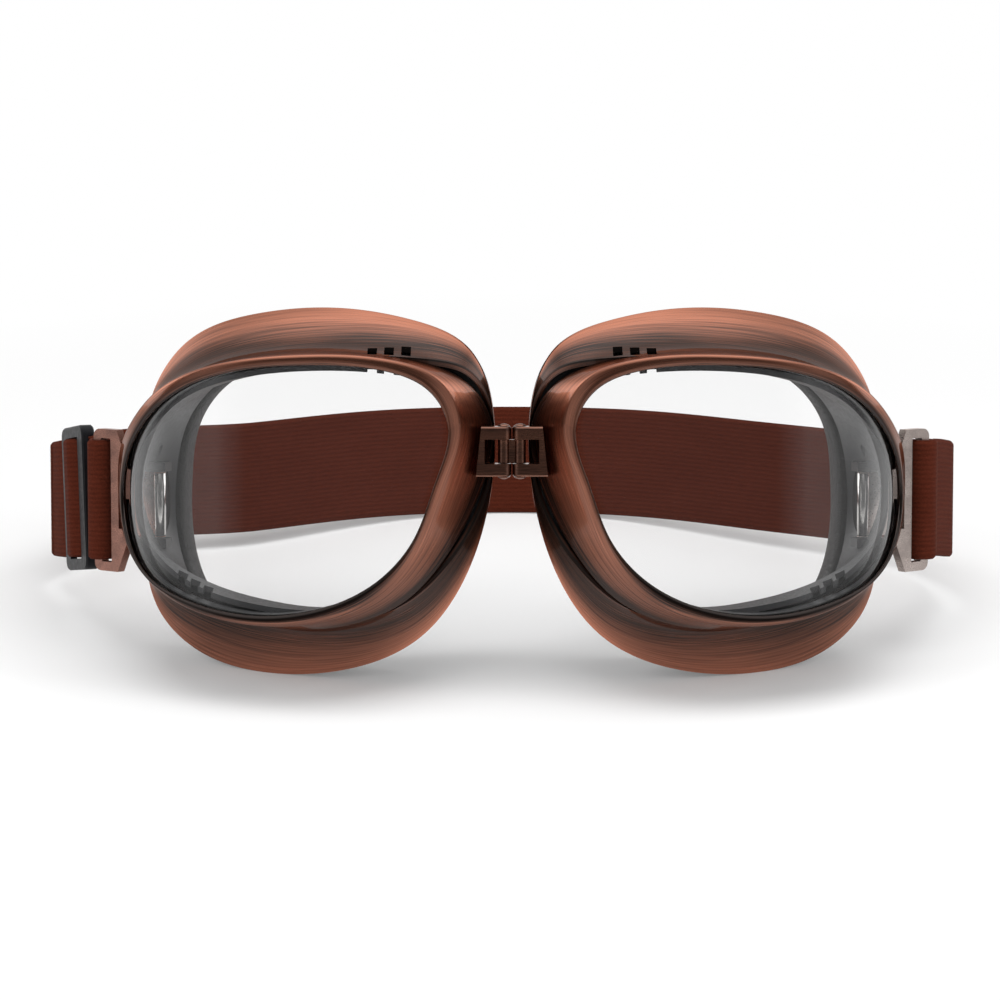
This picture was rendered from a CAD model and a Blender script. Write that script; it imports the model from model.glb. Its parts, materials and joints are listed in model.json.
import json
import math

import bpy
import numpy as np
from mathutils import Matrix, Vector


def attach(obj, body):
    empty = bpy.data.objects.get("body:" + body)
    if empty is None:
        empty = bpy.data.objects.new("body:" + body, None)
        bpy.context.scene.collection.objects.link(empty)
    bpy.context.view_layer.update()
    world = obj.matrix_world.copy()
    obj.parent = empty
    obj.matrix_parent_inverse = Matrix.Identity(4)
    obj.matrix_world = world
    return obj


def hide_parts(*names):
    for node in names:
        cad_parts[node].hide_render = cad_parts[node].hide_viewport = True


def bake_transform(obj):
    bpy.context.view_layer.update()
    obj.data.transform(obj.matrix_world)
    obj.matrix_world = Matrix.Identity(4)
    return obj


# The goggles are dressed in millimetres in three frames, one inside the other:
# the eyecup's own (X from nose to temple, Y behind the brim, Z up),
# the upright frame of the pair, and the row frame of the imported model, in metres.

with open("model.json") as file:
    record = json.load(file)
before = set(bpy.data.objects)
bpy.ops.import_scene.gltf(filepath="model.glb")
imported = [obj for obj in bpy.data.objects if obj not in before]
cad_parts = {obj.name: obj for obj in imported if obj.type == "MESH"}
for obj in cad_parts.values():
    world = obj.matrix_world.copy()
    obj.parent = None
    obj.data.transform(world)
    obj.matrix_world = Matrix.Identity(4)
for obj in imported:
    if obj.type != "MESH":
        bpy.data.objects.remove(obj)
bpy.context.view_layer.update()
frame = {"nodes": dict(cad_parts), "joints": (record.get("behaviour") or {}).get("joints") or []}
JOINTS = {joint["name"]: joint for joint in frame["joints"]}
MM = 0.001

# Eyecup
CUP_WIDTH = 80.0
CUP_HEIGHT = 78.7
CUP_WRAP = 18.5
CUP_HALF_GAP = 4.0
BRIM_SET_BACK = 13.0
DOME_RISE = 27.1
APEX_OUT = 51.1
FACE_RADIUS = 82.0
WRAP_RADIUS = 35.6

# Front bezel and lens
BEZEL_DEPTH = 6.3
BEZEL_TIP = 84.4
BEZEL_TIP_EDGE = 0.6
BEZEL_LIP = 1.2
BEAD_ROUND = 0.55
SEAM_ROUND = 0.45
LENS_SEAT = 1.0
LENS_THICKNESS = 1.6
LENS_PLAY = 0.12

# Rear cowl
COWL_WALL = 1.2
NECK_INSET = 0.6
FLARE_SPAN = 23.0
FLARE_POWER = 3
SEAM_GAP = 0.1
BRIM_ROUND = 0.35

# Ventilation cuts
VENT_SIZE = 2.0
VENT_LENGTH = 4.0
VENT_PITCH = 3.2
VENT_COUNT = 3
VENT_BEHIND_BEZEL = 1.0
TOP_VENT_OUT = 18.6
LOW_VENT_OUT = 60.0

# Bracket places that the cowl leaves room for
BRACKET_HEIGHT_PLACE = -6.0
BRACKET_PIN_OUT = 73.6
BRACKET_PIN_DEPTH = -5.5
BRACKET_ANGLE = 22.0
BRACKET_BAR_REACH = 18.4
BRACKET_BAR_WIDTH = 2.3
BRACKET_THICKNESS = 2.0
NECK_SLOT_HALF = 7.55
BARREL_RADIUS = 1.2
BARREL_HEIGHT = 13.9
SLEEVE = 0.05
NECK_SLOT_FRONT = 7.2

# Face pad
PAD_THICKNESS = 9.3
PAD_FRONT = 1.3
PAD_SIDE_SHARES = [(0.0, 0.43), (0.22, 0.22), (0.56, 0.39), (0.83, 0.7), (1.0, 1.0)]
PAD_CROWN_INSET = 4.4
PAD_EYE_SHARES = [(0.0, 0.25), (0.45, 0.0), (0.8, 0.4), (1.0, 1.0)]
PAD_EYE_ROUND = 1.6
PAD_SLACK = 0.35
PAD_SWELL = 0.9
CLOTH_STEPS = 20

# Bridge
BRIDGE_DEPTH = 7.6
BRIDGE_MID_HEIGHT = 7.4

# Strap
STRAP_WIDTH = 26.0
STRAP_THICKNESS = 1.6
STRAP_HEIGHT_PLACE = -6.0
STRAP_REACH = 100.0
STRAP_DEPTH = 144.5
STRAP_LAYER_GAP = 0.15
LOOP_PLAY = 0.15
LOOP_LENGTH = 20.0
LOOP_ANGLE = 70.0
ADJUSTER_ANGLE = 70.0
ADJUSTER_LENGTH = 40.5
ADJUSTER_LAYER = 1.3
REAR_ANGLE = 150.0
REAR_END_SHARES = (0.6, 0.82)
REAR_SHARES = [(0.3, 0.945), (0.0, 1.0), (-0.3, 0.945)]
SIDE_LEFT_SHARES = [(1.02, 0.66), (0.93, 0.75)]
SIDE_RIGHT_SHARES = [(0.985, 0.54), (0.92, 0.66)]
NEAR_SHARE = 0.42
SAG = 4.0
SAG_LEAD = 0.9
RIB_PITCH = 1.05
RIB_RISE = 0.02

# Slider
SLIDER_HEIGHT = 32.0
SLIDER_LENGTH = 19.6
SLIDER_MIDDLE = 19.4
SLIDER_PLATE = 1.5
SLIDER_BAR = 2.6
SLIDER_SIDE_BAR = 4.6
SLIDER_CORNER = 2.4
SLIDER_ROUND = 0.35
SLIDER_SLOT_HEIGHT = 27.0
SLIDER_CLEARANCE = 0.35

# The photograph: where the upright frame's aim shows, and how far off the camera stands
AIM = (-2.48, 0.0, -2.07)
CAMERA_DISTANCE = 760.0
CAMERA_RISE = 5.5
FOCAL_PIXELS = 3680.0
PICTURE_PIXELS = 1000.0
SENSOR_WIDTH = 36.0

# The table, half across and in metres
FLOOR_HALF = 3.0

# Outlines of one eyecup seen along its own axis, as shares of its width and height.
# Each starts at the nose and goes down, out to the temple and back over the top.
OPENING_SHARES = [
    (0.069, 0.155), (0.098, 0.017), (0.150, -0.137), (0.241, -0.248),
    (0.390, -0.319), (0.565, -0.335), (0.745, -0.301), (0.897, -0.229),
    (0.972, -0.121), (0.978, 0.006), (0.910, 0.130), (0.781, 0.240),
    (0.604, 0.307), (0.414, 0.327), (0.236, 0.316), (0.118, 0.264),
]
BEAD_SHARES = [
    (0.045, 0.170), (0.079, 0.020), (0.136, -0.156), (0.231, -0.283),
    (0.385, -0.351), (0.562, -0.361), (0.742, -0.322), (0.912, -0.232),
    (1.005, -0.122), (1.034, 0.006), (0.948, 0.150), (0.807, 0.267),
    (0.611, 0.335), (0.410, 0.356), (0.220, 0.346), (0.086, 0.285),
]
FLANGE_SHARES = [
    (-0.003, 0.164), (0.013, 0.010), (0.078, -0.155), (0.195, -0.309),
    (0.381, -0.376), (0.566, -0.368), (0.746, -0.326), (0.915, -0.234),
    (1.008, -0.122), (1.036, 0.006), (0.950, 0.151), (0.809, 0.268),
    (0.611, 0.337), (0.410, 0.357), (0.181, 0.338), (0.058, 0.283),
]
BRIM_SHARES = [
    (-0.003, 0.188), (-0.001, 0.013), (0.053, -0.203), (0.200, -0.419),
    (0.425, -0.520), (0.650, -0.535), (0.831, -0.489), (0.956, -0.374),
    (0.998, -0.165), (1.001, 0.038), (0.968, 0.222), (0.858, 0.372),
    (0.663, 0.446), (0.438, 0.465), (0.219, 0.435), (0.063, 0.362),
]
EYE_SHARES = [
    (0.106, 0.152), (0.119, 0.000), (0.175, -0.165), (0.281, -0.312),
    (0.425, -0.395), (0.581, -0.430), (0.731, -0.408), (0.837, -0.318),
    (0.884, -0.178), (0.887, -0.013), (0.860, 0.135), (0.763, 0.250),
    (0.613, 0.311), (0.450, 0.331), (0.275, 0.318), (0.150, 0.260),
]
STEPS_BETWEEN_POINTS = 16

# Frames

RIGHT_HINGE = JOINTS["right_eyecup_hinge"]
LEFT_HINGE = JOINTS["left_eyecup_hinge"]
LEAN = math.atan2(RIGHT_HINGE["axis"][1], RIGHT_HINGE["axis"][2])
BRIDGE_MIDDLE = (Vector(RIGHT_HINGE["pos_m"]) + Vector(LEFT_HINGE["pos_m"])) / 2
MIRROR_X = BRIDGE_MIDDLE.x
STANCE = (Matrix.Translation(BRIDGE_MIDDLE) @ Matrix.Rotation(-LEAN, 4, "X")
          @ Matrix.Scale(MM, 4) @ Matrix.Translation((0, -BRIDGE_DEPTH, -BRIDGE_MID_HEIGHT)))
CUP_PLACE = (Matrix.Translation((CUP_HALF_GAP, BRIM_SET_BACK, 0))
             @ Matrix.Rotation(math.radians(CUP_WRAP), 4, "Z"))


def row_point(place, side=1):
    """A place of the upright frame in the row frame, on the right side or mirrored to the left."""
    point = STANCE @ Vector(place)
    return Vector((point.x if side > 0 else 2 * MIRROR_X - point.x, point.y, point.z))


# Lines


def smooth_loop(points, steps=STEPS_BETWEEN_POINTS):
    """A closed curve with an even bend through the points, in equal steps between each two."""
    p = np.array(points, float)
    n = len(p)
    after = np.roll(p, -1, 0)
    h = np.linalg.norm(after - p, axis=1)
    before = np.roll(h, 1)
    system = np.zeros((n, n))
    for i in range(n):
        system[i, i - 1] += before[i]
        system[i, i] += 2 * (before[i] + h[i])
        system[i, (i + 1) % n] += h[i]
    slope = (after - p) / h[:, None]
    bend = np.linalg.solve(system, 6 * (slope - np.roll(slope, 1, 0)))
    next_bend = np.roll(bend, -1, 0)
    line = []
    for i in range(n):
        for t in np.arange(steps) / steps * h[i]:
            r = h[i] - t
            line.append((bend[i] * r ** 3 + next_bend[i] * t ** 3) / (6 * h[i])
                        + (p[i] / h[i] - bend[i] * h[i] / 6) * r
                        + (after[i] / h[i] - next_bend[i] * h[i] / 6) * t)
    return np.array(line)


def smooth_run(points, start, end, step=2.0):
    """An open curve through the points that leaves and arrives along the given directions."""
    p = np.array(points, float)
    n = len(p)
    h = np.linalg.norm(p[1:] - p[:-1], axis=1)
    slope = (p[1:] - p[:-1]) / h[:, None]
    system = np.zeros((n, n))
    known = np.zeros((n, p.shape[1]))
    system[0, :2] = 2 * h[0], h[0]
    known[0] = 6 * (slope[0] - np.array(start))
    system[-1, -2:] = h[-1], 2 * h[-1]
    known[-1] = 6 * (np.array(end) - slope[-1])
    for i in range(1, n - 1):
        system[i, i - 1:i + 2] = h[i - 1], 2 * (h[i - 1] + h[i]), h[i]
        known[i] = 6 * (slope[i] - slope[i - 1])
    bend = np.linalg.solve(system, known)
    line = []
    for i in range(n - 1):
        count = max(2, round(h[i] / step))
        for t in np.arange(count + (i == n - 2)) / count * h[i]:
            r = h[i] - t
            line.append((bend[i] * r ** 3 + bend[i + 1] * t ** 3) / (6 * h[i])
                        + (p[i] / h[i] - bend[i] * h[i] / 6) * r
                        + (p[i + 1] / h[i] - bend[i + 1] * h[i] / 6) * t)
    return np.array(line)


def grown(line, distance):
    """A closed line moved outwards along its own normals, or inwards if negative."""
    along = np.roll(line, -1, 0) - np.roll(line, 1, 0)
    along /= np.linalg.norm(along, axis=1)[:, None]
    return line + distance * np.stack([along[:, 1], -along[:, 0]], 1)


def outline(shares):
    return smooth_loop([(x * CUP_WIDTH, z * CUP_HEIGHT) for x, z in shares])


def sheet_depth(out, apex, face_radius, wrap_radius):
    """Where a vertical curved sheet lies at places across the eyecup."""
    radius = np.where(out < APEX_OUT, face_radius, wrap_radius)
    return apex + radius - np.sqrt(np.maximum(radius ** 2 - (out - APEX_OUT) ** 2, 0))


def front_depth(out, depth=0.0):
    return sheet_depth(out, depth - DOME_RISE, FACE_RADIUS - depth, WRAP_RADIUS - depth)


SEAM_APEX = BEZEL_DEPTH - DOME_RISE
SEAM_FACE_RADIUS = FACE_RADIUS - BEZEL_DEPTH
TIP_RUN = BEZEL_TIP - APEX_OUT
TIP_RISE = float(front_depth(BEZEL_TIP)) + BEZEL_TIP_EDGE - SEAM_APEX
SEAM_WRAP_RADIUS = (TIP_RUN ** 2 + TIP_RISE ** 2) / (2 * TIP_RISE)


def seam_depth(out, depth=0.0):
    return sheet_depth(out, SEAM_APEX + depth, SEAM_FACE_RADIUS - depth, SEAM_WRAP_RADIUS - depth)


OPENING = outline(OPENING_SHARES)
BEAD = outline(BEAD_SHARES)
FLANGE = outline(FLANGE_SHARES)
BRIM = outline(BRIM_SHARES)
EYE = outline(EYE_SHARES)
LENS_EDGE = grown(OPENING, LENS_SEAT)
NECK = grown(FLANGE, -NECK_INSET)


# Meshes


def ring_row(line, depth):
    """One line round the eyecup, at a depth that may change along it."""
    return np.stack([line[:, 0], np.broadcast_to(depth, len(line)), line[:, 1]], 1)


def quads(rows, columns, closed_rows, closed_columns):
    """The faces between rows of points, and for each corner how far it lies along and across."""
    faces, corners = [], []
    for i in range(rows if closed_rows else rows - 1):
        for j in range(columns if closed_columns else columns - 1):
            square = [(i, j), (i, j + 1), (i + 1, j + 1), (i + 1, j)]
            faces.append([(a % rows) * columns + b % columns for a, b in square])
            corners += square
    return faces, corners


def woven_mesh(name, rows, closed_rows=False, closed_columns=False, caps=False, wear=None):
    """A piece whose faces run between rows of points, with a map of lengths along and across them."""
    rows = np.array(rows, float)
    count, columns = rows.shape[:2]
    faces, corners = quads(count, columns, closed_rows, closed_columns)
    if caps:
        faces += [list(range(columns))[::-1], [(count - 1) * columns + j for j in range(columns)]]
        corners += [(0, j) for j in range(columns)][::-1] + [(count - 1, j) for j in range(columns)]
    mesh = bpy.data.meshes.new(name)
    mesh.from_pydata(rows.reshape(-1, 3).tolist(), [], faces)
    widest = np.linalg.norm(np.roll(rows, -1, 1) - rows, axis=2).max(0)
    along = np.concatenate([[0], np.cumsum(widest)])
    across_steps = np.linalg.norm(np.roll(rows, -1, 0) - rows, axis=2).mean(1)
    across = np.concatenate([[0], np.cumsum(across_steps)])
    fibre = mesh.uv_layers.new(name="fibre")
    fibre.data.foreach_set("uv", np.array([(along[j], across[i]) for i, j in corners]).ravel())
    if wear is not None:
        patina = mesh.attributes.new("patina", "FLOAT", "POINT")
        patina.data.foreach_set("value", np.array(wear, np.float32).ravel())
    mesh.validate()
    mesh.update()
    piece = bpy.data.objects.new(name, mesh)
    bpy.context.scene.collection.objects.link(piece)
    return piece


def outwards(piece):
    """Turns every face of a closed piece to look outwards."""
    active(piece)
    bpy.ops.object.mode_set(mode="EDIT")
    bpy.ops.mesh.select_all(action="SELECT")
    bpy.ops.mesh.normals_make_consistent(inside=False)
    bpy.ops.object.mode_set(mode="OBJECT")


def active(piece):
    bpy.ops.object.select_all(action="DESELECT")
    piece.select_set(True)
    bpy.context.view_layer.objects.active = piece


def set_modifiers(piece):
    """Makes what the piece's modifiers give its own mesh."""
    evaluated = piece.evaluated_get(bpy.context.evaluated_depsgraph_get())
    mesh = bpy.data.meshes.new_from_object(evaluated)
    piece.modifiers.clear()
    piece.data = mesh


def smoothed(piece, sharp_angle=None):
    """Smooth faces, apart from edges sharper than an angle."""
    for face in piece.data.polygons:
        face.use_smooth = True
    if sharp_angle:
        piece.data.set_sharp_from_angle(angle=math.radians(sharp_angle))


def placed(piece, matrix, side=1):
    """Moves a piece's mesh from its own frame to the row frame, or mirrors it to the left."""
    piece.data.transform(matrix)
    if side < 0:
        piece.data.transform(Matrix.Translation((2 * MIRROR_X, 0, 0)) @ Matrix.Scale(-1, 4, (1, 0, 0)))
        piece.data.flip_normals()
    return piece


def finished(piece, material, slot, body, *nodes):
    """Gives a piece its material, its slot, the body it rides on and the nodes it stands for."""
    piece.data.materials.clear()
    piece.data.materials.append(material)
    if body:
        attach(piece, body)
    if nodes:
        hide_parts(*nodes)
    return piece


def side_name(side):
    return "right" if side > 0 else "left"


# Materials


class Wire:
    """A value in a material that Python's operators work on, each by a node of its own."""

    def __init__(self, finish, socket):
        self.finish, self.socket = finish, socket

    def maths(self, operation, first, second):
        return self.finish.node("ShaderNodeMath", {"operation": operation}, {0: first, 1: second})

    def __add__(self, other):
        return self.maths("ADD", self, other)

    def __sub__(self, other):
        return self.maths("SUBTRACT", self, other)

    def __rsub__(self, other):
        return self.maths("SUBTRACT", other, self)

    def __mul__(self, other):
        return self.maths("MULTIPLY", self, other)

    __radd__ = __add__
    __rmul__ = __mul__


class Finish:
    """A material under construction."""

    def __init__(self, name, tree=None):
        if tree is None:
            self.material = bpy.data.materials.new(name)
            self.material.use_nodes = True
            tree = self.material.node_tree
            tree.nodes.clear()
        self.tree = tree

    def node(self, kind, settings, sockets, output=0):
        """A node of a kind, with its settings and what its sockets hold or are linked to."""
        made = self.tree.nodes.new(kind)
        for name, value in settings.items():
            if name == "stops":
                self.set_stops(made.color_ramp, value)
            else:
                setattr(made, name, value)
        for name, value in sockets.items():
            if isinstance(value, Wire):
                self.tree.links.new(value.socket, made.inputs[name])
            else:
                made.inputs[name].default_value = value
        return Wire(self, made.outputs[output]) if made.outputs else None

    def set_stops(self, ramp, stops):
        while len(ramp.elements) < len(stops):
            ramp.elements.new(1.0)
        for element, (place, colour) in zip(ramp.elements, stops):
            element.position = place
            element.color = (*colour, 1.0)

    def mix(self, share, first, second):
        """A colour between two colours."""
        return self.node("ShaderNodeMix", {"data_type": "RGBA"}, {0: share, 6: first, 7: second}, 2)

    def within(self, value, low, high, to_low=0.0, to_high=1.0):
        """A value carried from one range to another and held inside it."""
        return self.node("ShaderNodeMapRange", {}, {0: value, 1: low, 2: high, 3: to_low, 4: to_high})

    def place(self, source, scale):
        """Where a point lies, by the object or by the map of fibres, stretched by a scale on each axis."""
        if source == "fibre":
            found = self.node("ShaderNodeUVMap", {"uv_map": "fibre"}, {})
        else:
            found = self.node("ShaderNodeTexCoord", {}, {}, "Object")
        return self.node("ShaderNodeVectorMath", {"operation": "MULTIPLY"}, {0: found, 1: scale})

    def path(self, kind):
        """One where the light takes a path of a kind, otherwise zero."""
        return self.node("ShaderNodeLightPath", {}, {}, kind)

    def noise(self, place, detail=2.0, scale=1.0, roughness=0.5):
        return self.node("ShaderNodeTexNoise", {}, {"Vector": place, "Scale": scale, "Detail": detail,
                                                    "Roughness": roughness})

    def bump(self, height, strength, distance):
        return self.node("ShaderNodeBump", {}, {"Height": height, "Strength": strength, "Distance": distance})

    def surface(self, **sockets):
        """The surface itself, with its sockets by name, words joined by underscores."""
        names = {name.replace("_", " "): value for name, value in sockets.items()}
        return self.node("ShaderNodeBsdfPrincipled", {}, names)

    def done(self, surface):
        self.node("ShaderNodeOutputMaterial", {}, {"Surface": surface})
        return self.material


def colour(red, green, blue):
    return (red, green, blue, 1.0)


def brushed_copper(name, source, scale, bright, dark, wear_by_map):
    """Antique copper: bright where it's rubbed, brown in the recesses, brushed along, lacquered over."""
    f = Finish(name)
    fine = f.noise(f.place(source, scale), 3.0)
    broad = f.noise(f.place(source, tuple(s / 9 for s in scale)), 2.0)
    streaks = f.within(fine * 0.65 + broad * 0.35, 0.3, 0.7)
    if wear_by_map:
        patina = f.node("ShaderNodeAttribute", {"attribute_name": "patina"}, {}, "Fac")
    else:
        patina = f.within(broad, 0.35, 0.75, 0.15, 0.6)
    age = f.within(patina + (streaks - 0.5) * 0.75, 0.0, 1.0)
    tone = f.mix(age, colour(*bright), colour(*dark))
    rough = f.within(streaks, 0.0, 1.0, 0.24, 0.36)
    lines = f.bump(fine, 0.12, 0.0002)
    return f.done(f.surface(Base_Color=tone, Metallic=1.0, Roughness=rough, Normal=lines,
                            Specular_Tint=colour(0.7, 0.5, 0.44), Coat_Weight=0.45, Coat_Roughness=0.04))


def plain_metal(name, tone, roughness, scale):
    """Drawn or painted metal with faint marks."""
    f = Finish(name)
    marks = f.noise(f.place("object", (scale, scale, scale / 12)), 3.0)
    shade = f.mix(f.within(marks, 0.35, 0.7), colour(*tone), colour(*(c * 0.6 for c in tone)))
    rough = f.within(marks, 0.3, 0.7, roughness * 0.8, roughness * 1.25)
    return f.done(f.surface(Base_Color=shade, Metallic=1.0, Roughness=rough,
                            Normal=f.bump(marks, 0.1, 0.0001)))


def enamel():
    f = Finish("black_enamel")
    marks = f.noise(f.place("object", (900, 900, 900)), 3.0)
    return f.done(f.surface(Base_Color=f.mix(marks, colour(0.006, 0.006, 0.007), colour(0.014, 0.014, 0.016)),
                            Roughness=f.within(marks, 0.3, 0.7, 0.36, 0.5),
                            Specular_IOR_Level=0.12, Normal=f.bump(marks, 0.15, 0.0002)))


def moulded_shell():
    f = Finish("dark_moulding")
    grain = f.noise(f.place("object", (1400, 1400, 1400)), 2.0)
    cloud = f.noise(f.place("object", (60, 60, 60)), 2.0)
    return f.done(f.surface(Base_Color=f.mix(cloud, colour(0.04, 0.04, 0.042), colour(0.065, 0.065, 0.067)),
                            Roughness=f.within(grain, 0.3, 0.7, 0.32, 0.46),
                            Normal=f.bump(grain, 0.2, 0.0002)))


def soft_leather():
    f = Finish("black_leather")
    cells = f.node("ShaderNodeTexVoronoi", {"feature": "DISTANCE_TO_EDGE"},
                   {"Vector": f.place("object", (1, 1, 1)), "Scale": 900.0}, "Distance")
    cloud = f.noise(f.place("object", (150, 150, 150)), 3.0)
    crease = f.within(cells, 0.0, 0.12)
    return f.done(f.surface(Base_Color=f.mix(cloud, colour(0.012, 0.011, 0.011), colour(0.03, 0.027, 0.026)),
                            Roughness=f.within(crease, 0.0, 1.0, 0.7, 0.45),
                            Normal=f.bump(crease, 0.35, 0.0003)))


def black_rubber():
    f = Finish("black_rubber")
    grain = f.noise(f.place("object", (1200, 1200, 1200)), 2.0)
    return f.done(f.surface(Base_Color=f.mix(grain, colour(0.008, 0.008, 0.008), colour(0.016, 0.016, 0.016)),
                            Roughness=f.within(grain, 0.0, 1.0, 0.5, 0.7)))


def clear_lens():
    """Clear moulded plastic: what lies behind shows, under a reflection that grows towards the sides."""
    f = Finish("clear_lens")
    slant = f.node("ShaderNodeLayerWeight", {}, {"Blend": 0.5}, "Facing")
    haze = f.noise(f.place("object", (25, 25, 25)), 2.0)
    through = f.node("ShaderNodeBsdfTransparent", {}, {"Color": colour(1, 1, 1)})
    gloss = f.node("ShaderNodeBsdfGlossy", {}, {"Color": colour(1, 1, 1),
                                                "Roughness": f.within(haze, 0.3, 0.7, 0.01, 0.03)})
    shine = f.within(slant, 0.3, 0.75, 0.04, 0.3)
    return f.done(f.node("ShaderNodeMixShader", {}, {0: shine, 1: through, 2: gloss}))


def ribbed_webbing():
    """Elastic webbing: fine ribs along its length under a short velvet pile."""
    f = Finish("brown_webbing")
    ribs = f.node("ShaderNodeTexWave", {"wave_type": "BANDS", "bands_direction": "Y"},
                  {"Vector": f.place("fibre", (1, 1, 1)), "Scale": 0.3, "Distortion": 0.8, "Detail": 1.0})
    threads = f.noise(f.place("fibre", (0.5, 6.0, 1)), 3.0, roughness=0.6)
    pile = f.noise(f.place("fibre", (4.0, 2.2, 1)), 4.0, roughness=0.7)
    cloud = f.noise(f.place("fibre", (0.05, 0.12, 1)), 2.0)
    height = ribs * 0.12 + threads * 0.4 + pile * 0.6
    shade = f.within(height, 0.3, 0.85)
    deep = f.mix(cloud, colour(0.028, 0.0055, 0.0025), colour(0.042, 0.009, 0.0042))
    worn = f.mix(cloud, colour(0.11, 0.021, 0.01), colour(0.14, 0.03, 0.0155))
    return f.done(f.surface(Base_Color=f.mix(shade, deep, worn), Roughness=0.9,
                            Normal=f.bump(height, 0.7, 0.0004), Specular_IOR_Level=0.08))


COPPER = brushed_copper("antique_copper", "fibre", (0.05, 4.5, 1), (0.5, 0.19, 0.115),
                        (0.026, 0.018, 0.0155), True)
SMALL_COPPER = brushed_copper("small_copper", "object", (300, 3000, 3000), (0.26, 0.115, 0.075),
                              (0.015, 0.01, 0.009), False)
PINK_COPPER = brushed_copper("bracket_copper", "object", (300, 3000, 3000), (0.5, 0.25, 0.19),
                             (0.2, 0.11, 0.09), False)
GREY_COPPER = brushed_copper("grey_copper", "object", (300, 3000, 3000), (0.62, 0.53, 0.49),
                             (0.36, 0.3, 0.275), False)
STEEL = plain_metal("bright_wire", (0.72, 0.7, 0.68), 0.18, 2500)
ENAMEL = enamel()
SHELL = moulded_shell()
LEATHER = soft_leather()
RUBBER = black_rubber()
LENS = clear_lens()
WEBBING = ribbed_webbing()


# Eyecups


def bezel_rows():
    """The bezel's section, row by row: the lip, the bead, the slope to the seam and the back."""
    front = front_depth(BEAD[:, 0])
    seam = seam_depth(FLANGE[:, 0])
    pocket = grown(LENS_EDGE, LENS_PLAY)
    lip = np.minimum(front_depth(OPENING[:, 0], BEZEL_LIP), seam_depth(OPENING[:, 0]))
    middle = (OPENING + BEAD) / 2
    rows = [
        (OPENING, lip, 0.95),
        (OPENING, (lip + front_depth(OPENING[:, 0])) / 2, 0.9),
        (OPENING, front_depth(OPENING[:, 0]) + BEAD_ROUND, 0.9),
        (grown(OPENING, BEAD_ROUND), front_depth(OPENING[:, 0]) + BEAD_ROUND / 5, 0.6),
        (middle, front_depth(middle[:, 0]) + BEAD_ROUND / 5, 0.45),
        (grown(BEAD, -BEAD_ROUND), front_depth(BEAD[:, 0]) + BEAD_ROUND / 5, 0.3),
        (BEAD, front + BEAD_ROUND, 0.3),
    ]
    for share, wear in ((0.16, 0.2), (0.35, 0.25), (0.55, 0.35), (0.75, 0.6), (0.9, 0.85)):
        sag = share * (1 - share)
        line = BEAD + (share + 0.22 * sag) * (FLANGE - BEAD)
        depth = front + BEAD_ROUND + share * (seam - SEAM_ROUND - front - BEAD_ROUND)
        rows.append((grown(line, -SEAM_ROUND * sag), depth, wear))
    rows += [
        (FLANGE, seam - SEAM_ROUND, 0.7),
        (grown(FLANGE, -SEAM_ROUND / 5), seam - SEAM_ROUND / 5, 0.7),
        (grown(FLANGE, -2 * SEAM_ROUND), seam_depth(FLANGE[:, 0]), 0.9),
    ]
    inner = pocket + 0.15 * (FLANGE - pocket)
    step = np.maximum(lip, seam_depth(pocket[:, 0]) - SEAM_ROUND)
    rows += [(inner, seam_depth(inner[:, 0]), 0.9), (pocket, step, 0.9), (pocket, lip, 0.9)]
    return rows


def templeward(line):
    """From zero over most of the eyecup to one beside the temple, where the copper is duller."""
    return np.clip((line[:, 0] / CUP_WIDTH - 0.55) / 0.35, 0, 1)


def make_bezel(side):
    rows = bezel_rows()
    points = [ring_row(line, depth) for line, depth, _ in rows]
    wear = [w + 0.45 * np.clip(-line[:, 1] / (0.3 * CUP_HEIGHT), 0, 1) + 0.4 * templeward(line)
            for line, _, w in rows]
    name = side_name(side)
    piece = woven_mesh(f"bezel_{name}", points, True, True, wear=wear)
    outwards(piece)
    level = piece.modifiers.new("round", "SUBSURF")
    level.levels = level.render_levels = 1
    set_modifiers(piece)
    smoothed(piece)
    placed(piece, STANCE @ CUP_PLACE, side)
    return finished(piece, COPPER, "copper", f"{name}_eyecup", f"front_bezel_{name}")


def cowl_line(along, inset):
    """The cowl's outside at a share of its flare, or its inside if inset."""
    flare = along[:, None] ** FLARE_POWER
    return grown(NECK + flare * (BRIM - NECK), -inset)


def cowl_rows():
    """From the neck under the bezel out over the flare, round the brim and back inside."""
    depth = np.full(len(NECK), -FLARE_SPAN / 2)
    for _ in range(30):
        line = cowl_line(1 + depth / FLARE_SPAN, 0)
        depth = np.maximum(seam_depth(line[:, 0], SEAM_GAP), -FLARE_SPAN)
    outside, inside = [], []
    for share in np.linspace(0, 1, 15):
        at = depth * (1 - share)
        along = 1 + at / FLARE_SPAN
        wear = np.interp(share, [0, 0.5, 0.7, 0.8, 0.9, 1.0], [1.0, 0.95, 0.75, 0.5, 0.25, 0.1])
        outside.append((cowl_line(along, 0), at, wear))
        inside.append((cowl_line(along, COWL_WALL), at, 0.8))
    brim = outside.pop()[0]
    inside.pop()
    rim = [(brim, -BRIM_ROUND, 0.0), (grown(brim, -BRIM_ROUND / 4), -BRIM_ROUND / 4, 0.0),
           (grown(brim, -BRIM_ROUND), 0.0, 0.1), (grown(brim, BRIM_ROUND - COWL_WALL), 0.0, 0.4),
           (grown(brim, -COWL_WALL), -BRIM_ROUND, 0.6)]
    return outside + rim + inside[::-1]


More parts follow.
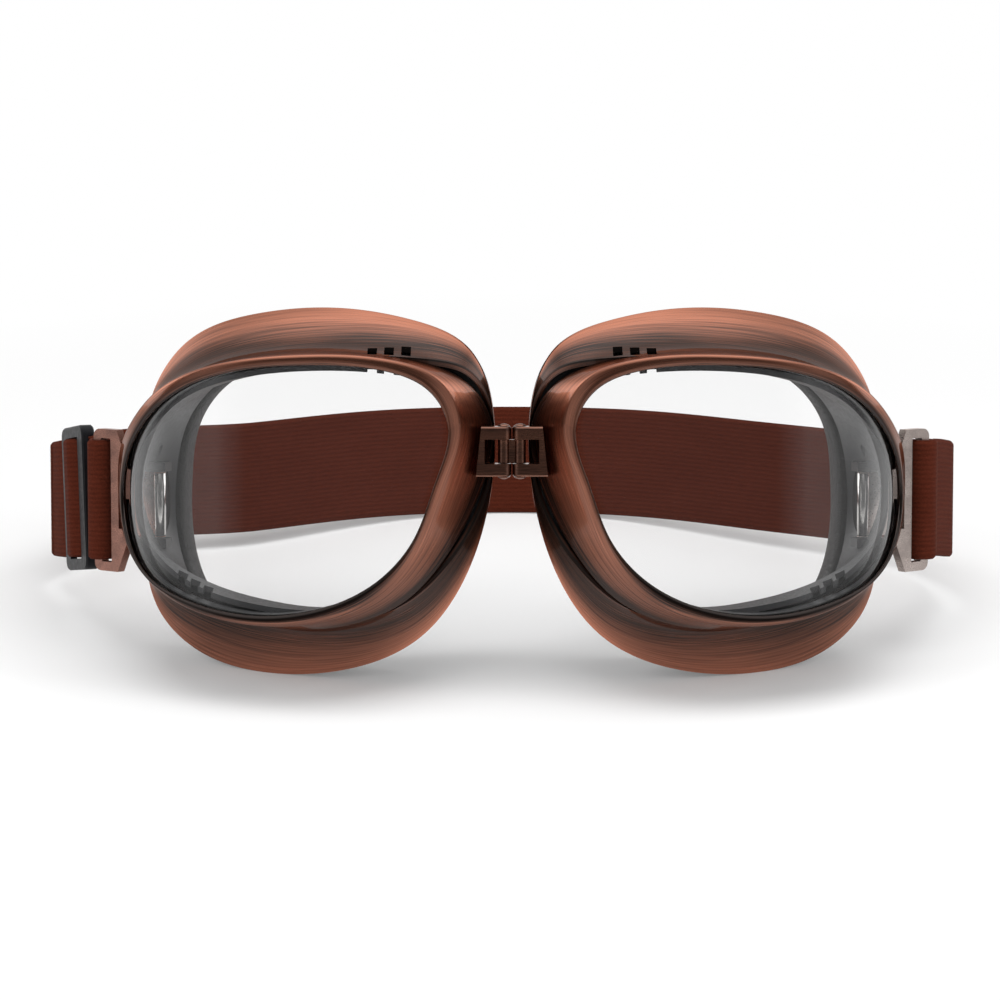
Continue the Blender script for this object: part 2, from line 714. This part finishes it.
def cutter(low, high, turn):
    """A box between two corners, turned about the middle of its front, to cut with."""
    corners = [(x, y, z) for x in (low[0], high[0]) for y in (low[1], high[1]) for z in (low[2], high[2])]
    mesh = bpy.data.meshes.new("cut")
    faces = [(0, 1, 3, 2), (4, 6, 7, 5), (0, 4, 5, 1), (2, 3, 7, 6), (0, 2, 6, 4), (1, 5, 7, 3)]
    mesh.from_pydata(corners, [], faces)
    pivot = Matrix.Translation(((low[0] + high[0]) / 2, low[1], 0))
    mesh.transform(pivot @ Matrix.Rotation(math.radians(turn), 4, "Z") @ pivot.inverted())
    piece = bpy.data.objects.new("cut", mesh)
    bpy.context.scene.collection.objects.link(piece)
    return piece


def cut(piece, boxes):
    """Takes boxes out of a piece."""
    for low, high, turn in boxes:
        box = cutter(low, high, turn)
        taken = piece.modifiers.new("cut", "BOOLEAN")
        taken.operation = "DIFFERENCE"
        taken.solver = "EXACT"
        taken.object = box
        set_modifiers(piece)
        bpy.data.objects.remove(box)
        darken(piece, low, high, turn)


def darken(piece, low, high, turn):
    """Sets the patina to its darkest along the edges that a box has cut."""
    patina = piece.data.attributes.get("patina")
    if patina is None:
        return
    places = np.zeros(3 * len(piece.data.vertices))
    piece.data.vertices.foreach_get("co", places)
    values = np.zeros(len(piece.data.vertices))
    patina.data.foreach_get("value", values)
    pivot = np.array([(low[0] + high[0]) / 2, low[1], 0])
    back = np.array(Matrix.Rotation(math.radians(-turn), 3, "Z"))
    local = (places.reshape(-1, 3) - pivot) @ back.T + pivot
    near = np.all((local > np.array(low) - SEAM_GAP) & (local < np.array(high) + SEAM_GAP), axis=1)
    patina.data.foreach_set("value", np.where(near, 1.0, values))


def vent_boxes(height_low, height_high, out):
    boxes = []
    for i in range(VENT_COUNT):
        x = out + (i - (VENT_COUNT - 1) / 2) * VENT_PITCH
        y = float(seam_depth(np.array(x))) + VENT_BEHIND_BEZEL
        boxes.append(((x - VENT_SIZE / 2, y, height_low),
                      (x + VENT_SIZE / 2, y + VENT_LENGTH, height_high), -CUP_WRAP))
    return boxes


def make_cowl(side):
    rows = cowl_rows()
    points = [ring_row(line, depth) for line, depth, _ in rows]
    wear = [w + 0.4 * templeward(line) for line, _, w in rows]
    name = side_name(side)
    piece = woven_mesh(f"cowl_{name}", points, True, True, wear=wear)
    outwards(piece)
    cut(piece, vent_boxes(0, CUP_HEIGHT, TOP_VENT_OUT) + vent_boxes(-CUP_HEIGHT, 0, LOW_VENT_OUT) + [
        ((BRACKET_PIN_OUT, -NECK_SLOT_FRONT, BRACKET_HEIGHT_PLACE - NECK_SLOT_HALF),
         (BEZEL_TIP, SEAM_GAP, BRACKET_HEIGHT_PLACE + NECK_SLOT_HALF), 0)])
    smoothed(piece, 40)
    placed(piece, STANCE @ CUP_PLACE, side)
    return finished(piece, COPPER, "copper", f"{name}_eyecup", f"rear_cowl_{name}")


def make_sleeve(side):
    """The bright skin of the bracket's barrel, seen through the lens."""
    radius = BARREL_RADIUS + SLEEVE
    half = BARREL_HEIGHT / 2 - SLEEVE
    rows = []
    bevel = 3 * SLEEVE
    turns = np.linspace(0, 2 * math.pi, 48, endpoint=False)
    for inset, height in ((bevel, -half), (0, bevel - half), (0, half - bevel), (bevel, half)):
        rows.append([((radius - inset) * math.cos(t), (radius - inset) * math.sin(t), height) for t in turns])
    name = side_name(side)
    piece = woven_mesh(f"bracket_barrel_{name}", rows, False, True, caps=True)
    outwards(piece)
    smoothed(piece, 50)
    centre = Matrix.Translation((BRACKET_PIN_OUT, BRACKET_PIN_DEPTH, BRACKET_HEIGHT_PLACE))
    placed(piece, STANCE @ CUP_PLACE @ centre, side)
    return finished(piece, STEEL, "pin_steel", f"{name}_bracket")


def make_lens(side):
    """A curved pane that follows the front of the eyecup behind the bezel's lip."""
    centre = LENS_EDGE.mean(0)
    rows = []
    for depth, shares in ((BEZEL_LIP, np.linspace(0.02, 1, 26)),
                          (BEZEL_LIP + LENS_THICKNESS, np.linspace(1, 0.02, 26))):
        for share in shares:
            line = centre + share * (LENS_EDGE - centre)
            rows.append(ring_row(line, front_depth(line[:, 0], depth)))
    name = side_name(side)
    piece = woven_mesh(f"lens_pane_{name}", rows, False, True, caps=True)
    outwards(piece)
    smoothed(piece, 40)
    placed(piece, STANCE @ CUP_PLACE, side)
    return finished(piece, LENS, "lens", f"{name}_eyecup", f"lens_{name}")


def pad_rows():
    """The pad's section, a little slimmer than its place, because its cover swells."""
    start = PAD_FRONT + PAD_SLACK / 2
    thickness = PAD_THICKNESS - PAD_SLACK
    outside = [(grown(BRIM, -PAD_CROWN_INSET * inset - PAD_SLACK), start + thickness * along)
               for along, inset in PAD_SIDE_SHARES]
    inside = [(grown(EYE, PAD_EYE_ROUND * flare + PAD_SLACK), start + thickness * along)
              for along, flare in PAD_EYE_SHARES]
    top_out, top_in = outside[-1], inside[-1]
    crown = [(top_out[0] + share * (top_in[0] - top_out[0]), top_out[1] + PAD_SLACK / 2)
             for share in (0.3, 0.7)]
    base = [(inside[0][0] + share * (outside[0][0] - inside[0][0]), inside[0][1]) for share in (0.33, 0.67)]
    return outside + crown + inside[::-1] + base


def make_pad(side):
    rows = [ring_row(line, depth) for line, depth in pad_rows()]
    name = side_name(side)
    piece = woven_mesh(f"pad_{name}", rows, True, True)
    outwards(piece)
    placed(piece, STANCE @ CUP_PLACE, side)
    swell(piece, PAD_SWELL * MM)
    level = piece.modifiers.new("round", "SUBSURF")
    level.levels = level.render_levels = 1
    set_modifiers(piece)
    smoothed(piece)
    return finished(piece, LEATHER, "pad", f"{name}_eyecup", f"face_pad_{name}")


def swell(piece, most):
    """Lets the padding swell as cloth under pressure, by no more than a distance."""
    rest = np.array([v.co for v in piece.data.vertices])
    cloth = piece.modifiers.new("swell", "CLOTH")
    cloth.settings.use_pressure = True
    cloth.settings.uniform_pressure_force = 4
    cloth.settings.effector_weights.gravity = 0
    cloth.settings.tension_stiffness = 25
    cloth.settings.bending_stiffness = 4
    cloth.point_cache.frame_start = 1
    cloth.point_cache.frame_end = CLOTH_STEPS
    scene = bpy.context.scene
    for step in range(1, CLOTH_STEPS + 1):
        scene.frame_set(step)
    evaluated = piece.evaluated_get(bpy.context.evaluated_depsgraph_get())
    swollen = np.array([v.co for v in evaluated.to_mesh().vertices])
    evaluated.to_mesh_clear()
    piece.modifiers.clear()
    scene.frame_set(1)
    move = swollen - rest
    length = np.linalg.norm(move, axis=1)
    move *= np.minimum(1, most / np.maximum(length, 1e-9))[:, None]
    piece.data.vertices.foreach_set("co", (rest + move).ravel())
    piece.data.update()


# Strap


def heading(angle):
    return np.array([math.cos(math.radians(angle)), math.sin(math.radians(angle))])


BAR = CUP_PLACE @ Vector((BRACKET_PIN_OUT + BRACKET_BAR_REACH * math.cos(math.radians(BRACKET_ANGLE)),
                          BRACKET_PIN_DEPTH + BRACKET_BAR_REACH * math.sin(math.radians(BRACKET_ANGLE)), 0))
BAR_PLACE = np.array([BAR.x, BAR.y])
BAR_CLEAR = math.hypot(BRACKET_BAR_WIDTH, BRACKET_THICKNESS) / 2 + LOOP_PLAY


def strap_route(shares):
    return [np.array([x * STRAP_REACH, y * STRAP_DEPTH]) for x, y in shares]


def normals(line):
    along = np.gradient(line, axis=0)
    along /= np.linalg.norm(along, axis=1)[:, None]
    return np.stack([-along[:, 1], along[:, 0]], 1)


def webbing_section(thickness):
    """The strap's section, ribbed on both faces, as places off its middle line and heights."""
    half = STRAP_WIDTH / 2
    count = 2 * round(STRAP_WIDTH / RIB_PITCH)
    section = []
    for face in (1, -1):
        for i in range(count + 1):
            height = -half + STRAP_WIDTH * i / count
            edge = min(1.0, (half - abs(height)) / (thickness / 2))
            bulge = thickness / 2 * math.sqrt(max(0.12, 1 - (1 - edge) ** 2))
            rib = RIB_RISE * (-1 if i % 2 else 0)
            section.append((face * (bulge + rib), face * height))
    return section


def sag(depth):
    """How far the strap hangs below its place, which it meets at the bars and in the rear middle."""
    share = np.clip((depth - BAR_PLACE[1]) / (STRAP_DEPTH - BAR_PLACE[1]), 0, 1)
    return SAG * np.sin(math.pi * share ** SAG_LEAD) ** 2


def make_band(name, line, thickness, side=1, slants=None):
    """A length of strap on edge along a line seen from above, in the upright frame.

    Slants say how far each row's top lies behind its middle, as a vector per millimetre of height.
    """
    section = webbing_section(thickness)
    across = normals(line)
    if slants is None:
        slants = np.zeros_like(line)
    rows = []
    for place, normal, slant in zip(line, across, slants):
        middle = STRAP_HEIGHT_PLACE - sag(place[1])
        rows.append([(*(place + normal * off + slant * height), middle + height) for off, height in section])
    piece = woven_mesh(name, rows, False, True, caps=True)
    flip_map(piece)
    outwards(piece)
    smoothed(piece, 70)
    placed(piece, STANCE, side)
    return piece


def flip_map(piece):
    """Swaps the map's lengths, so that along is along the strap."""
    fibre = piece.data.uv_layers["fibre"].data
    values = np.zeros(2 * len(fibre))
    fibre.foreach_get("uv", values)
    fibre.foreach_set("uv", values.reshape(-1, 2)[:, ::-1].ravel())


def side_line(start_angle, length, layer, shares):
    """The free strap's middle line from beside a cup to the rear band, on the right side."""
    direction = heading(start_angle)
    stand_off = (layer + STRAP_LAYER_GAP) / 2
    start = BAR_PLACE + direction * length + stand_off * np.array([direction[1], -direction[0]])
    end = strap_route([REAR_END_SHARES])[0]
    return smooth_run([start] + strap_route(shares) + [end], direction, heading(REAR_ANGLE))


def make_strap_side(name, line, side, bracket, nodes):
    """The free strap in two lengths: one bends with the bracket, the other with the eyecup."""
    middle = round(len(line) * NEAR_SHARE)
    eyecup = f"{side_name(side)}_eyecup"
    halves = (("near", line[:middle + 1], (bracket, eyecup)), ("far", line[middle:], (eyecup, "bridge")))
    for part, run, bodies in halves:
        piece = make_band(f"{name}_{part}", run, STRAP_THICKNESS, side)
        finished(piece, WEBBING, "strap", None)
        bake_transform(piece)
    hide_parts(*nodes)


def loop_line():
    """The folded end of the strap round the right bracket's bar, in the bar's own frame."""
    radius = BAR_CLEAR + STRAP_THICKNESS / 2
    off = (STRAP_THICKNESS + STRAP_LAYER_GAP) / 2
    leave = math.degrees(math.asin(min(1, (radius - off) / (2 * radius))))
    arc = [(-radius * math.cos(math.radians(a)), radius * math.sin(math.radians(a)))
           for a in np.linspace(-90 - leave, 90 + leave, 25)]
    run = [(x, off) for x in np.linspace(3.1 * radius, LOOP_LENGTH, 9)]
    return np.array([(x, -y) for x, y in run[::-1]] + arc + run)


def bar_line(line, angle):
    """A line of the bar's own frame in the upright frame."""
    c, s = heading(angle)
    along, off = line[:, 0], line[:, 1]
    return np.stack([BAR_PLACE[0] + c * along - s * off, BAR_PLACE[1] + s * along + c * off], 1)


def make_strap_loop():
    piece = make_band("strap_loop", bar_line(loop_line(), LOOP_ANGLE), STRAP_THICKNESS)
    return finished(piece, WEBBING, "strap", "right_bracket", "strap_loop_right")


def weave(distance, layer):
    """How far the layers of strap stand off the slider's middle at a distance from the bar."""
    bars = (SLIDER_LENGTH - SLIDER_BAR) / 2
    swing = (SLIDER_CLEARANCE + ADJUSTER_LAYER) + STRAP_LAYER_GAP / 2
    off_middle = abs(distance - SLIDER_MIDDLE)
    turn = (off_middle - SLIDER_BAR / 2) / (SLIDER_LENGTH / 2 - SLIDER_SIDE_BAR - SLIDER_BAR / 2)
    wave = math.cos(math.pi * min(1, max(0, turn)))
    if off_middle > bars:
        wave = -math.exp(-(2 * off_middle / bars - 2) ** 2)
    return swing * wave + layer * (ADJUSTER_LAYER + STRAP_LAYER_GAP) / 2


SLIDER_PLACE = BAR_PLACE + heading(ADJUSTER_ANGLE) * SLIDER_MIDDLE
SLIDER_TILT = math.atan((sag(SLIDER_PLACE[1] + 1) - sag(SLIDER_PLACE[1])) * heading(ADJUSTER_ANGLE)[1])


def make_adjuster():
    """The left end of the strap: the fold at the bar, then two layers through the tilted slider."""
    radius = BAR_CLEAR + ADJUSTER_LAYER / 2
    start = 2 * (BAR_CLEAR + ADJUSTER_LAYER)
    bars = (SLIDER_LENGTH - SLIDER_BAR) / 2
    first, last = SLIDER_MIDDLE - bars - 2, SLIDER_MIDDLE + bars + 2
    fold = [(-radius * math.cos(math.radians(a)), radius * math.sin(math.radians(a)))
            for a in np.linspace(-90, 90, 19)]
    lead = {layer: [(d, weave(d, layer)) for d in np.linspace(start, first, 5)] for layer in (-1, 1)}
    lengths = [("fold", np.array(lead[-1][::-1] + fold + lead[1]), ("left_bracket", "slider"), 0, first)]
    for layer, word in ((-1, "under"), (1, "over")):
        woven = np.array([(d, weave(d, layer)) for d in np.linspace(first, last, 36)])
        free = np.array([(d, weave(d, layer)) for d in np.linspace(last, ADJUSTER_LENGTH, 8)])
        lengths += [(f"weave_{word}", woven, None, 0, 0),
                    (f"end_{word}", free, ("slider", "left_bracket"), last, ADJUSTER_LENGTH)]
    for word, line, bodies, start_at, end_at in lengths:
        slant = math.sin(SLIDER_TILT) * np.interp(line[:, 0], [0, first, last, ADJUSTER_LENGTH], [0, 1, 1, 0])
        piece = make_band(f"adjuster_{word}", bar_line(line * (1, -1), ADJUSTER_ANGLE), ADJUSTER_LAYER, -1,
                          slant[:, None] * heading(ADJUSTER_ANGLE))
        finished(piece, WEBBING, "strap", None if bodies else "slider")
        if bodies:
            ends = [row_point((*(BAR_PLACE + heading(ADJUSTER_ANGLE) * d), STRAP_HEIGHT_PLACE), -1)
                    for d in (start_at, end_at)]
            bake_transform(piece)
    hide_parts("strap_adjuster_left")


def rounded_outline(length, height, corner):
    """A rectangle with round corners about the middle."""
    points = []
    for turn, (x, z) in enumerate(((1, 1), (-1, 1), (-1, -1), (1, -1))):
        for angle in np.linspace(90 * turn, 90 * turn + 90, 9):
            across, up = heading(angle)
            points.append((x * (length / 2 - corner) + corner * across,
                           z * (height / 2 - corner) + corner * up))
    return points


def make_slider():
    """A flat three-bar slide; its side bars lie outside the strap and its middle bar inside."""
    rows = []
    for inset, off in ((SLIDER_ROUND, -SLIDER_PLATE), (0, SLIDER_ROUND - SLIDER_PLATE),
                       (0, SLIDER_PLATE - SLIDER_ROUND), (SLIDER_ROUND, SLIDER_PLATE)):
        ring = rounded_outline(SLIDER_LENGTH - 2 * inset, SLIDER_HEIGHT - 2 * inset, SLIDER_CORNER - inset)
        rows.append([(x, off, z) for x, z in ring])
    piece = woven_mesh("slide", rows, False, True, caps=True)
    outwards(piece)
    half_slot = SLIDER_SLOT_HEIGHT / 2
    half_window = SLIDER_LENGTH / 2 - SLIDER_SIDE_BAR
    cut(piece, [((-half_window, -2 * SLIDER_PLATE, -half_slot), (half_window, 0, half_slot), 0),
                ((SLIDER_BAR / 2, 0, -half_slot), (SLIDER_LENGTH, 2 * SLIDER_PLATE, half_slot), 0),
                ((-SLIDER_LENGTH, 0, -half_slot), (-SLIDER_BAR / 2, 2 * SLIDER_PLATE, half_slot), 0)])
    smoothed(piece, 35)
    middle = (*SLIDER_PLACE, STRAP_HEIGHT_PLACE - sag(SLIDER_PLACE[1]))
    placed(piece, STANCE @ Matrix.Translation(middle) @ Matrix.Rotation(math.radians(ADJUSTER_ANGLE), 4, "Z")
           @ Matrix.Rotation(SLIDER_TILT, 4, "Y"), -1)
    return finished(piece, ENAMEL, "slider", "slider", "strap_slider")


def make_rear_band():
    left_end = (-REAR_END_SHARES[0], REAR_END_SHARES[1])
    places = strap_route([REAR_END_SHARES] + REAR_SHARES + [left_end])
    line = smooth_run(places, heading(REAR_ANGLE), heading(360 - REAR_ANGLE))
    piece = make_band("rear_band", line, STRAP_THICKNESS)
    return finished(piece, WEBBING, "strap", "bridge", "strap_rear_band")


# Setting


def set_camera():
    target = Vector(AIM)
    rise = math.radians(CAMERA_RISE)
    away = Vector((0, -math.cos(rise), math.sin(rise)))
    camera = bpy.data.objects.new("camera", bpy.data.cameras.new("camera"))
    camera.data.sensor_width = SENSOR_WIDTH
    camera.data.lens = FOCAL_PIXELS / PICTURE_PIXELS * SENSOR_WIDTH
    camera.data.clip_start = 0.05
    eye = STANCE @ (target + away * CAMERA_DISTANCE)
    turn = (STANCE.to_3x3().normalized() @ away).to_track_quat("Z", "Y")
    camera.matrix_world = Matrix.Translation(eye) @ turn.to_matrix().to_4x4()
    bpy.context.scene.collection.objects.link(camera)
    bpy.context.scene.camera = camera


def set_lamp(name, place, aim, size, power):
    lamp = bpy.data.lights.new(name, "AREA")
    lamp.shape = "RECTANGLE"
    lamp.size, lamp.size_y = size
    lamp.energy = power
    piece = bpy.data.objects.new(name, lamp)
    piece.visible_glossy = False
    away = Vector(place) - Vector(aim)
    piece.matrix_world = Matrix.Translation(place) @ away.to_track_quat("Z", "Y").to_matrix().to_4x4()
    bpy.context.scene.collection.objects.link(piece)


def set_world():
    """White to the eye. Reflections meet a dim room in front, a white one behind and softboxes."""
    world = bpy.data.worlds.new("studio")
    bpy.context.scene.world = world
    world.use_nodes = True
    world.node_tree.nodes.clear()
    f = Finish("studio", world.node_tree)
    direction = f.node("ShaderNodeTexCoord", {}, {}, "Generated")
    out, back, up = (f.node("ShaderNodeSeparateXYZ", {}, {0: direction}, axis) for axis in "XYZ")
    beyond = f.within(back, 0.0, 0.45, 0.0, 0.7)
    overhead = f.within(up, 0.62, 0.95, 0.0, 1.3)
    beside = f.within(out * out, 0.35, 0.7, 0.0, 1.7) * f.within(back, 0.01, 0.07)
    before = f.within(out * out, 0.3, 0.5, 0.0, 0.4) * f.within(back, -0.15, -0.35)
    room = beyond + overhead + beside + before + 0.09
    glossy = f.path("Is Glossy Ray")
    seen = f.within(f.path("Is Camera Ray") + f.path("Is Transmission Ray"), 0.0, 1.0, 0.5, 1.0)
    light = f.node("ShaderNodeBackground", {}, {"Color": colour(1, 1, 1),
                                                "Strength": seen * (1 - glossy) + glossy * room})
    f.node("ShaderNodeOutputWorld", {}, {"Surface": light})


def make_floor():
    mesh = bpy.data.meshes.new("floor")
    corners = [(x * FLOOR_HALF, y * FLOOR_HALF, 0) for x, y in ((-1, -1), (1, -1), (1, 1), (-1, 1))]
    mesh.from_pydata(corners, [], [(0, 1, 2, 3)])
    floor = bpy.data.objects.new("floor", mesh)
    bpy.context.scene.collection.objects.link(floor)
    f = Finish("white_table")
    place = f.place("object", (1, 1, 0))
    away = f.node("ShaderNodeVectorMath", {"operation": "LENGTH"}, {0: place}, "Value")
    direct = f.path("Is Camera Ray") + f.path("Is Glossy Ray") + f.path("Is Transmission Ray")
    seen = f.within(direct, 0.0, 1.0)
    front = f.node("ShaderNodeSeparateXYZ", {}, {0: place}, "Y")
    dim = f.path("Is Glossy Ray") * f.within(away, 0.13, 0.22) * f.within(front, 0.12, -0.02, 0.0, 0.5)
    matt = f.node("ShaderNodeBsdfDiffuse", {}, {"Color": colour(0.93, 0.93, 0.93)})
    glow = f.mix(dim, colour(1, 1, 1), colour(0, 0, 0))
    white = f.node("ShaderNodeEmission", {}, {"Color": glow, "Strength": 1.0})
    share = seen * f.within(away, 0.12, 0.3, 0.15, 1.0)
    floor.data.materials.append(f.done(f.node("ShaderNodeMixShader", {}, {0: share, 1: matt, 2: white})))


def dress_nodes():
    """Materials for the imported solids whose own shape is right."""
    finishes = {"inner_shell": SHELL, "lens_gasket": RUBBER, "bracket_pin": STEEL,
                "bridge_leaf": SMALL_COPPER, "bridge_pin": SMALL_COPPER, "bridge_link": SMALL_COPPER}
    for name, node in frame["nodes"].items():
        if name.startswith("strap_bracket"):
            material = PINK_COPPER if name.endswith("left") else GREY_COPPER
        else:
            material = next((m for word, m in finishes.items() if name.startswith(word)), None)
        if material:
            node.data.materials.clear()
            node.data.materials.append(material)


set_camera()
set_world()
make_floor()
set_lamp("top_softbox", (0.05, -0.15, 0.75), (0, 0, 0.04), (0.7, 0.5), 3.6)
set_lamp("left_softbox", (-0.7, -0.45, 0.45), (0, 0, 0.04), (0.3, 0.6), 2.0)
set_lamp("right_softbox", (0.75, -0.35, 0.4), (0, 0, 0.04), (0.25, 0.6), 2.0)
dress_nodes()
for side in (1, -1):
    make_bezel(side)
    make_cowl(side)
    make_lens(side)
    make_pad(side)
    make_sleeve(side)
make_rear_band()
make_strap_side("strap_right", side_line(LOOP_ANGLE, LOOP_LENGTH, STRAP_THICKNESS, SIDE_RIGHT_SHARES), 1,
                "right_bracket", ["strap_side_right"])
make_strap_side("strap_left", side_line(ADJUSTER_ANGLE, ADJUSTER_LENGTH, ADJUSTER_LAYER, SIDE_LEFT_SHARES),
                -1, "left_bracket", ["strap_side_left"])
make_strap_loop()
make_adjuster()
make_slider()

view = bpy.context.scene.view_settings
view.view_transform = "Standard"
